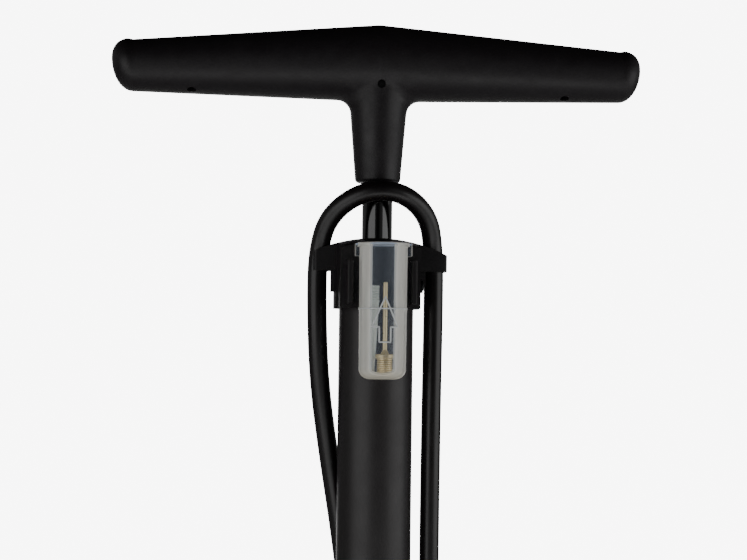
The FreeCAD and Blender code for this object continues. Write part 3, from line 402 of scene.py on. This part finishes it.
def milky_case():
    """Thin translucent moulding: clear where it faces the eye, milky where its walls are seen edge on,
    with painted light on its sides: the colour turns from bluish to warm white towards the edges.
    """
    n = Nodes("case_milky")
    n.set(rough=0.16, ior=1.46, specular=0.6)
    facing = n.mix(n.noise(90, 4), (0.52, 0.62, 0.80), (0.60, 0.70, 0.86))
    # Painted light: a warm white where the wall is seen edge on, a painted brightening of the case's
    # sides standing for the side lamps and the backdrop shining through; the milkier wall there is its
    # own
    side = n.mix(n.ramp(n.edge_on(), ((0.12, 0.0), (0.17, 1.0))), facing, (0.97, 0.96, 0.90))
    n.colour(n.mix(n.height(CASE_WARM_BELOW, CASE_FLOOR), side, (1.0, 0.95, 0.80)))
    n.rough(n.remap(n.noise(240, 4), 0.12, 0.24, 0.3, 0.7))
    n.bump(n.noise(420, 2), 0.00001, 0.2)
    rim = n.height(RIM_FROM, RIM_TO)
    floor = n.height(CASE_FLOOR + CASE_FLOOR_THICK, CASE_FLOOR)
    thick = n.remap(n.larger(rim, floor), 0.0, CASE_THICK_ALPHA)
    wall = n.larger(n.ramp(n.edge_on(), CASE_WALL), thick)
    outside = n.distance_from(CASE_AXIS)
    fins = n.remap(outside, 1.0, CASE_FIN_ALPHA, CASE_RADIUS + 0.0002, CASE_RADIUS + 0.0004)
    above_fins = n.height(FIN_TOP, FIN_TOP + FIN_FADE)
    n.link(n.times(wall, n.larger(fins, above_fins)), n.shader.inputs["Alpha"])
    return n.material


def ridge_plastic():
    """The same moulding where a raised line makes it thicker, so it is milkier."""
    n = Nodes("case_ridge")
    n.set(rough=0.25, ior=1.46, alpha=0.8)
    n.colour(n.mix(n.noise(160, 4), (0.80, 0.84, 0.86), (0.93, 0.95, 0.95)))
    return n.material


def cone_plastic():
    """Pale grey-green adapter plastic."""
    n = Nodes("cone_grey")
    n.set(rough=0.3)
    n.colour(n.mix(n.noise(120, 4), (0.74, 0.82, 0.78), (0.86, 0.92, 0.88)))
    n.bump(n.noise(900, 2), 0.00003, 0.3)
    return n.material


def dial_print():
    n = Nodes("dial_white")
    n.set(rough=0.5)
    n.colour(n.mix(n.noise(200, 4), (0.78, 0.78, 0.75), (0.86, 0.86, 0.84)))
    n.bump(n.noise(2500, 2), 0.00002, 0.2)
    return n.material


def ink(name, colour):
    n = Nodes(name)
    n.set(rough=0.55)
    n.colour(n.mix(n.noise(900, 3), colour, tuple(c * 0.8 + 0.01 for c in colour)))
    return n.material


def lens_plastic():
    n = Nodes("lens_clear")
    n.set(colour=(0.97, 0.98, 0.98), rough=0.02, ior=1.3, transmission=1.0)
    n.rough(n.remap(n.noise(60, 4), 0.01, 0.05, 0.4, 0.8))
    return n.material


def gloss_black():
    n = Nodes("bezel_black")
    n.set(rough=0.2)
    n.colour(n.mix(n.noise(70, 4), (0.008, 0.008, 0.009), (0.014, 0.014, 0.015)))
    n.rough(n.remap(n.noise(180, 4), 0.15, 0.28, 0.3, 0.7))
    return n.material


FINISHES = {
    "moulded_black": moulded_black("moulded_black", (0.0075, 0.0056, 0.0068), (0.0125, 0.0098, 0.0116)),
    "base_black": base_black(),
    "sheet_steel": metal("sheet_steel", (0.035, 0.035, 0.037), 0.45),
    "rubber_black": rubber("rubber_black", (0.0065, 0.0062, 0.0064), (0.013, 0.0125, 0.0125), 1900),
    "zinc_screw": metal("zinc_screw", (0.52, 0.53, 0.55), 0.3, 700),
    "black_screw": black_oxide(),
    "barrel_paint": barrel_paint(),
    "grey_plastic": grey_plastic(),
    "collar_black": collar_black(),
    "acetal_white": acetal(),
    "nitrile": rubber("nitrile", (0.008, 0.008, 0.008), (0.014, 0.014, 0.014), 2500),
    "spring_steel": metal("spring_steel", (0.5, 0.5, 0.5), 0.25),
    "ball_steel": metal("ball_steel", (0.68, 0.68, 0.7), 0.1, 300, 0.000004),
    "gauge_black": moulded_black("gauge_black", (0.008, 0.008, 0.008), (0.014, 0.014, 0.014)),
    "brass": metal("brass", (0.96, 0.82, 0.50), 0.34, 900, share=0.55),
    "dial_white": dial_print(),
    "pointer_red": ink("pointer_red", (0.55, 0.02, 0.015)),
    "lens_clear": lens_plastic(),
    "bezel_black": gloss_black(),
    "case_milky": milky_case(),
    "cone_grey": cone_plastic(),
    "rod_black": rod_black(),
    "hose_black": hose_black(),
    "head_black": moulded_black("head_black", (0.008, 0.008, 0.009), (0.014, 0.014, 0.015)),
    "alloy": metal("alloy", (0.62, 0.63, 0.65), 0.3),
}

hose.data.materials.append(FINISHES["hose_black"])
for part in frame["record"]["subparts"]:
    obj = frame["nodes"][part["node"]]
    obj.data.materials.clear()
    obj.data.materials.append(FINISHES[part["material_slot"]])


# ---------------------------------------------------------------- dial print
def on_gauge(obj):
    obj.location = GAUGE_CENTRE
    obj.rotation_euler = Euler((GAUGE_TILT, 0, 0))


def mesh_piece(name, bm, finish, body="frame"):
    data = bpy.data.meshes.new(name)
    bm.to_mesh(data)
    bm.free()
    data.materials.append(finish)
    obj = bpy.data.objects.new(name, data)
    bpy.context.collection.objects.link(obj)
    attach(obj, body)
    return obj


def flat_bar(bm, angle, r0, r1, half, z, thick):
    """A thin raised bar on the dial, from radius r0 to r1."""
    along = Vector((math.cos(angle), math.sin(angle), 0))
    side = Vector((-along.y, along.x, 0)) * half
    up = Vector((0, 0, thick))
    base = Vector((0, 0, z))
    ring = [along * r0 - side, along * r1 - side, along * r1 + side, along * r0 + side]
    low = [bm.verts.new(base + p) for p in ring]
    high = [bm.verts.new(base + p + up) for p in ring]
    bm.faces.new(reversed(low))
    bm.faces.new(high)
    for i in range(4):
        j = (i + 1) % 4
        bm.faces.new((low[i], low[j], high[j], high[i]))


def dial_marks():
    """Long marks at the figures and short ones between them."""
    bm = bmesh.new()
    marks = DIAL_STEPS * MARKS_PER_STEP
    for i in range(marks + 1):
        angle = DIAL_START - DIAL_SWEEP * i / marks
        inner, half = (0.0190, 0.00028) if i % MARKS_PER_STEP == 0 else (0.0212, 0.00013)
        flat_bar(bm, angle, inner, MARK_OUTER, half, DIAL_FACE, 0.00006)
    on_gauge(mesh_piece("dial_marks", bm, ink("ink_black", (0.01, 0.01, 0.01))))


def dial_band():
    """Coloured arc outside the marks over the upper part of the scale."""
    bm = bmesh.new()
    half_turn = DIAL_SWEEP * (1 - BAND_FROM) / 2 / BAND_PIECES
    for i in range(BAND_PIECES):
        angle = DIAL_START - DIAL_SWEEP * BAND_FROM - half_turn * (2 * i + 1)
        flat_bar(bm, angle, BAND_INNER, BAND_OUTER, 0.0249 * half_turn, DIAL_FACE, 0.00005)
    on_gauge(mesh_piece("dial_band", bm, ink("ink_red", (0.45, 0.02, 0.02))))


def dial_numbers():
    finish = ink("ink_figures", (0.012, 0.012, 0.012))
    for i in range(DIAL_STEPS + 1):
        a = DIAL_START - DIAL_SWEEP * i / DIAL_STEPS
        text = bpy.data.curves.new(f"figure_{i}", "FONT")
        text.body = str(20 * i)
        text.size = FIGURE_SIZE
        text.extrude = 0.00003
        text.align_x = "CENTER"
        text.align_y = "CENTER"
        text.materials.append(finish)
        source = bpy.data.objects.new("figure_source", text)
        data = bpy.data.meshes.new_from_object(source)
        bpy.data.objects.remove(source)
        obj = bpy.data.objects.new(f"dial_figure_{i}", data)
        bpy.context.collection.objects.link(obj)
        spot = Vector((math.cos(a) * FIGURE_RADIUS, math.sin(a) * FIGURE_RADIUS, DIAL_FACE + 0.00003))
        obj.rotation_euler = Euler((GAUGE_TILT, 0, 0))
        obj.location = GAUGE_CENTRE + Quaternion((1, 0, 0), GAUGE_TILT) @ spot
        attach(obj, "frame")


dial_marks()
dial_band()
dial_numbers()


# ---------------------------------------------------------------- raised lines on the accessory case
RIDGE_RADIUS = 0.00042
ARROW = [
    (0.0, 0.5118), (0.0063, 0.4970), (0.0028, 0.4970), (0.0028, 0.4896),
    (-0.0028, 0.4896), (-0.0028, 0.4970), (-0.0063, 0.4970), (0.0, 0.5118),
]
ARROW_RUNS = 8
STEP_HEIGHT = 0.5060
STEP_RADIUS = 0.01178
STEP_RUNS = 48
STEP_HALF_ANGLE = 88


def on_case(x, z):
    """The point of the case's front at x and height z."""
    radius = CASE_RADIUS - CASE_TAPER * (CASE_TOP - z) / (CASE_TOP - CASE_FLOOR)
    return Vector((x, CASE_AXIS[1] - math.sqrt(radius ** 2 - x ** 2), z))


def ridge(name, points, closed):
    """A thin rounded line along points, as a mesh."""
    curve = bpy.data.curves.new(name, "CURVE")
    curve.dimensions = "3D"
    spline = curve.splines.new("POLY")
    spline.points.add(len(points) - 1)
    for point, place in zip(spline.points, points):
        point.co = (*place, 1.0)
    spline.use_cyclic_u = closed
    curve.bevel_depth = RIDGE_RADIUS
    curve.bevel_resolution = 4
    curve.use_fill_caps = True
    source = bpy.data.objects.new("ridge_source", curve)
    data = bpy.data.meshes.new_from_object(source)
    bpy.data.objects.remove(source)
    data.materials.clear()
    data.materials.append(CASE_RIDGE)
    data.shade_smooth()
    obj = bpy.data.objects.new(name, data)
    bpy.context.collection.objects.link(obj)
    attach(obj, "case")


def case_arrow():
    """The arrow's outline on the case's front, each side cut into short runs that follow the curve."""
    points = []
    for (xa, za), (xb, zb) in zip(ARROW, ARROW[1:]):
        for t in range(ARROW_RUNS):
            share = t / ARROW_RUNS
            points.append(on_case(xa + (xb - xa) * share, za + (zb - za) * share))
    ridge("case_arrow", points, True)


def case_step():
    """The line round the front of the case where its lower part begins."""
    points = []
    for i in range(STEP_RUNS + 1):
        angle = math.radians(STEP_HALF_ANGLE * (2 * i / STEP_RUNS - 1))
        points.append(on_case(STEP_RADIUS * math.sin(angle), STEP_HEIGHT))
    ridge("case_step", points, False)


CASE_RIDGE = ridge_plastic()
case_arrow()
case_step()


# ---------------------------------------------------------------- stage and light
def make_floor():
    """A pale floor that meets the white backdrop without an edge."""
    bm = bmesh.new()
    bmesh.ops.create_circle(bm, cap_ends=True, segments=96, radius=14.0)
    data = bpy.data.meshes.new("floor")
    bm.to_mesh(data)
    bm.free()
    floor = bpy.data.objects.new("floor", data)
    bpy.context.collection.objects.link(floor)
    material = bpy.data.materials.new("floor")
    material.use_nodes = True
    tree = material.node_tree
    pale = tree.nodes["Principled BSDF"]
    pale.inputs["Base Color"].default_value = (0.86, 0.86, 0.86, 1)
    pale.inputs["Roughness"].default_value = 0.9
    glow = tree.nodes.new("ShaderNodeEmission")
    length = tree.nodes.new("ShaderNodeVectorMath")
    length.operation = "LENGTH"
    spread = tree.nodes.new("ShaderNodeMapRange")
    spread.interpolation_type = "SMOOTHSTEP"
    spread.inputs["From Min"].default_value = FLOOR_NEAR
    spread.inputs["From Max"].default_value = FLOOR_FAR
    spread.inputs["To Min"].default_value = FLOOR_GLOW
    spread.inputs["To Max"].default_value = BACKDROP_GLOW
    rays = tree.nodes.new("ShaderNodeLightPath")
    seen = tree.nodes.new("ShaderNodeMath")
    seen.operation = "MULTIPLY"
    both = tree.nodes.new("ShaderNodeAddShader")
    place = tree.nodes.new("ShaderNodeTexCoord")
    tree.links.new(place.outputs["Object"], length.inputs[0])
    tree.links.new(length.outputs["Value"], spread.inputs["Value"])
    tree.links.new(spread.outputs["Result"], seen.inputs[0])
    tree.links.new(rays.outputs["Is Camera Ray"], seen.inputs[1])
    tree.links.new(seen.outputs[0], glow.inputs["Strength"])
    tree.links.new(pale.outputs[0], both.inputs[0])
    tree.links.new(glow.outputs[0], both.inputs[1])
    tree.links.new(both.outputs[0], tree.nodes["Material Output"].inputs["Surface"])
    data.materials.append(material)


def make_world():
    """A white backdrop as the camera sees it, and a dim room with paler side walls for the rest."""
    world = bpy.data.worlds.new("studio")
    world.use_nodes = True
    tree = world.node_tree
    room = tree.nodes["Background"]
    room.inputs["Color"].default_value = (1, 1, 1, 1)
    place = tree.nodes.new("ShaderNodeTexCoord")
    split = tree.nodes.new("ShaderNodeSeparateXYZ")
    rise = tree.nodes.new("ShaderNodeMapRange")
    rise.interpolation_type = "SMOOTHSTEP"
    rise.inputs["From Min"].default_value = 0.1
    rise.inputs["From Max"].default_value = 0.7
    rise.inputs["To Min"].default_value = ROOM_GLOW
    rise.inputs["To Max"].default_value = CEILING_GLOW
    tree.links.new(place.outputs["Generated"], split.inputs[0])
    tree.links.new(split.outputs["Z"], rise.inputs["Value"])
    across = tree.nodes.new("ShaderNodeMath")
    across.operation = "ABSOLUTE"
    sides = tree.nodes.new("ShaderNodeMapRange")
    sides.interpolation_type = "SMOOTHSTEP"
    sides.inputs["From Min"].default_value = 0.05
    sides.inputs["From Max"].default_value = 0.50
    sides.inputs["To Min"].default_value = 0.15
    sides.inputs["To Max"].default_value = 1.9
    level = tree.nodes.new("ShaderNodeMath")
    level.operation = "MULTIPLY"
    tree.links.new(split.outputs["X"], across.inputs[0])
    tree.links.new(across.outputs[0], sides.inputs["Value"])
    tree.links.new(rise.outputs["Result"], level.inputs[0])
    tree.links.new(sides.outputs["Result"], level.inputs[1])
    tree.links.new(level.outputs[0], room.inputs["Strength"])
    backdrop = tree.nodes.new("ShaderNodeBackground")
    backdrop.inputs["Color"].default_value = (1, 1, 1, 1)
    backdrop.inputs["Strength"].default_value = BACKDROP_GLOW
    rays = tree.nodes.new("ShaderNodeLightPath")
    mix = tree.nodes.new("ShaderNodeMixShader")
    tree.links.new(rays.outputs["Is Camera Ray"], mix.inputs["Fac"])
    tree.links.new(room.outputs[0], mix.inputs[1])
    tree.links.new(backdrop.outputs[0], mix.inputs[2])
    tree.links.new(mix.outputs[0], tree.nodes["World Output"].inputs["Surface"])
    bpy.context.scene.world = world


def softbox(name, azimuth, height, distance, width, tall, power, aim=(0, 0, 0.45)):
    """A soft light facing the pump. Azimuth is measured as the camera's is."""
    data = bpy.data.lights.new(name, "AREA")
    data.shape = "RECTANGLE"
    data.size = width
    data.size_y = tall
    data.energy = power
    obj = bpy.data.objects.new(name, data)
    bpy.context.collection.objects.link(obj)
    a = math.radians(azimuth)
    obj.location = (math.sin(a) * distance, -math.cos(a) * distance, height)
    direction = Vector(aim) - obj.location
    obj.rotation_mode = "QUATERNION"
    obj.rotation_quaternion = direction.to_track_quat("-Z", "Y")


make_floor()
make_world()
softbox("key_right", 68, 0.45, 1.5, 1.5, 0.9, 6)
softbox("key_left", -48, 0.45, 1.5, 1.5, 0.9, 5.5)
softbox("fill_back", 178, 0.60, 1.8, 1.6, 1.0, 9)
softbox("floor_bounce", 0, 0.05, 0.5, 1.2, 0.4, 1.8, (0, 0, 0.6))

bpy.context.view_layer.update()
